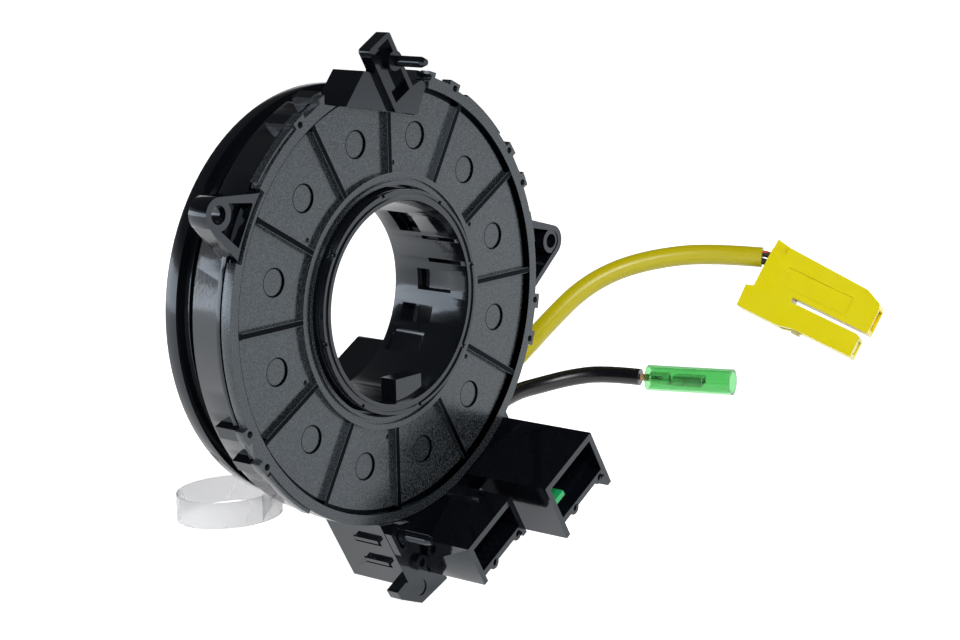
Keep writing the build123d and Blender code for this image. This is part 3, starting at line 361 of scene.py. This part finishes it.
# Painted shade: the near-black the shadow lines are painted with; with Metallic on they take no diffuse light.
PAINTED_SHADE_BLACK = (0.003, 0.003, 0.004)
cover, tree, surface, place = shader("cover_grain_and_painted_shade")
drawn = tree.nodes.new("ShaderNodeGroup")
drawn.node_tree = lines
speckle = tree.nodes.new("ShaderNodeTexNoise")
speckle.inputs["Scale"].default_value = 3000.0
speckle.inputs["Detail"].default_value = 2.0
spread = tree.nodes.new("ShaderNodeMapRange")
spread.inputs["From Min"].default_value = 0.38
spread.inputs["From Max"].default_value = 0.62
shade_line_roughness = tree.nodes.new("ShaderNodeMix")
shade_line_roughness.inputs["A"].default_value = 0.2
shade_line_roughness.inputs["B"].default_value = 0.3
relief = tree.nodes.new("ShaderNodeBump")
relief.inputs["Distance"].default_value = 0.00003
relief.inputs["Strength"].default_value = 0.8
# Painted shade: black base colour, Metallic 1 and roughness 0.3 wherever either shadow mask is on.
painted_shade_line = reckon(tree, "MAXIMUM", drawn.outputs["Line"], drawn.outputs["Ring"])
grain_colour = blend(tree, spread.outputs["Result"], GRAIN_DARK, GRAIN_LIGHT)
for source, target in ((place, drawn.inputs["Place"]),
                       (place, speckle.inputs["Vector"]),
                       (speckle.outputs["Fac"], spread.inputs["Value"]),
                       (speckle.outputs["Fac"], relief.inputs["Height"]),
                       (painted_shade_line, shade_line_roughness.inputs["Factor"]),
                       (blend(tree, painted_shade_line, grain_colour, PAINTED_SHADE_BLACK), surface.inputs["Base Color"]),
                       (shade_line_roughness.outputs["Result"], surface.inputs["Roughness"]),
                       (painted_shade_line, surface.inputs["Metallic"]),
                       (relief.outputs["Normal"], surface.inputs["Normal"])):
    tree.links.new(source, target)
surface.inputs["Specular IOR Level"].default_value = 0.62
surface.inputs["Specular Tint"].default_value = (0.80, 0.91, 1.0, 1.0)
dress(["rear_cover"], cover, 0.0002)

# Floor: a wide white sheet under the lowest piece. It keeps the unit's shadow, and shows white to
# the camera, to the gloss and through the clear pieces.
FLOOR_HALF, FLOOR_GLOW = 6.0, 0.88
low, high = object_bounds()
floor_mesh = bpy.data.meshes.new("floor")
shape = bmesh.new()
bmesh.ops.create_grid(shape, x_segments=1, y_segments=1, size=FLOOR_HALF)
bmesh.ops.translate(shape, verts=shape.verts, vec=(0.0, 0.0, low.z))
shape.to_mesh(floor_mesh)
shape.free()
floor = bpy.data.objects.new("floor", floor_mesh)
scene.collection.objects.link(floor)
floor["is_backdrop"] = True
floor_paper, tree, surface, place = shader("floor")
surface.inputs["Base Color"].default_value = (0.86, 0.86, 0.86, 1.0)
surface.inputs["Roughness"].default_value = 0.8
ray = tree.nodes.new("ShaderNodeLightPath")
glow = tree.nodes.new("ShaderNodeEmission")
glow.inputs["Color"].default_value = (1.0, 1.0, 1.0, 1.0)
seen = reckon(tree, "MAXIMUM", ray.outputs["Is Camera Ray"], ray.outputs["Is Glossy Ray"])
seen = reckon(tree, "MAXIMUM", seen, ray.outputs["Is Transmission Ray"])
both = tree.nodes.new("ShaderNodeAddShader")
tree.links.new(reckon(tree, "MULTIPLY", seen, FLOOR_GLOW), glow.inputs["Strength"])
tree.links.new(surface.outputs["BSDF"], both.inputs[0])
tree.links.new(glow.outputs["Emission"], both.inputs[1])
tree.links.new(both.outputs["Shader"], tree.nodes["Material Output"].inputs["Surface"])
floor_mesh.materials.append(floor_paper)

# Studio: a dark ceiling over a bright horizon, so that upright faces shine and level ones stay
# black. Four softboxes stand round the unit: a key, a low panel, and two fills.
world = bpy.data.worlds.new("studio")
scene.world = world
world.use_nodes = True
tree = world.node_tree
sky = tree.nodes["Background"]
toward = tree.nodes.new("ShaderNodeTexCoord")
parts = tree.nodes.new("ShaderNodeSeparateXYZ")
slope = tree.nodes.new("ShaderNodeMapRange")
slope.interpolation_type = "SMOOTHSTEP"
for label, value in (("From Min", 0.06), ("From Max", 0.42), ("To Min", 0.9), ("To Max", 0.06)):
    slope.inputs[label].default_value = value
ray = tree.nodes.new("ShaderNodeLightPath")
tree.links.new(toward.outputs["Generated"], parts.inputs["Vector"])
tree.links.new(parts.outputs["Z"], slope.inputs["Value"])
level_up = reckon(tree, "MAXIMUM", slope.outputs["Result"], ray.outputs["Is Camera Ray"])
level_up = reckon(tree, "MAXIMUM", level_up, ray.outputs["Is Transmission Ray"])
tree.links.new(level_up, sky.inputs["Strength"])
sky.inputs["Color"].default_value = (1.0, 1.0, 1.0, 1.0)


def lamp(name, place, aim, width, height, power, colour=(1.0, 1.0, 1.0)):
    """A softbox at a place, turned to a point."""
    data = bpy.data.lights.new(name, "AREA")
    data.shape = "RECTANGLE"
    data.size = width
    data.size_y = height
    data.energy = power
    data.color = colour
    box = bpy.data.objects.new(name, data)
    scene.collection.objects.link(box)
    box.location = place
    box.rotation_euler = (Vector(aim) - Vector(place)).to_track_quat("-Z", "Y").to_euler()


lamp("key_softbox", (-0.55, -0.85, 0.75), (0.0, 0.0, 0.0), 0.6, 0.6, 11.0)
lamp("left_back_panel", (-0.70, 0.60, 0.05), (0.0, 0.0, 0.0), 0.9, 0.28, 3.0, (0.86, 0.92, 1.0))
lamp("right_fill", (0.75, -0.45, 0.45), (0.05, 0.0, -0.02), 0.4, 0.4, 3.0)
lamp("wheel_side_fill", (0.0, 1.10, 0.25), (0.02, 0.0, 0.0), 0.3, 0.3, 2.5)

low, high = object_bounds()
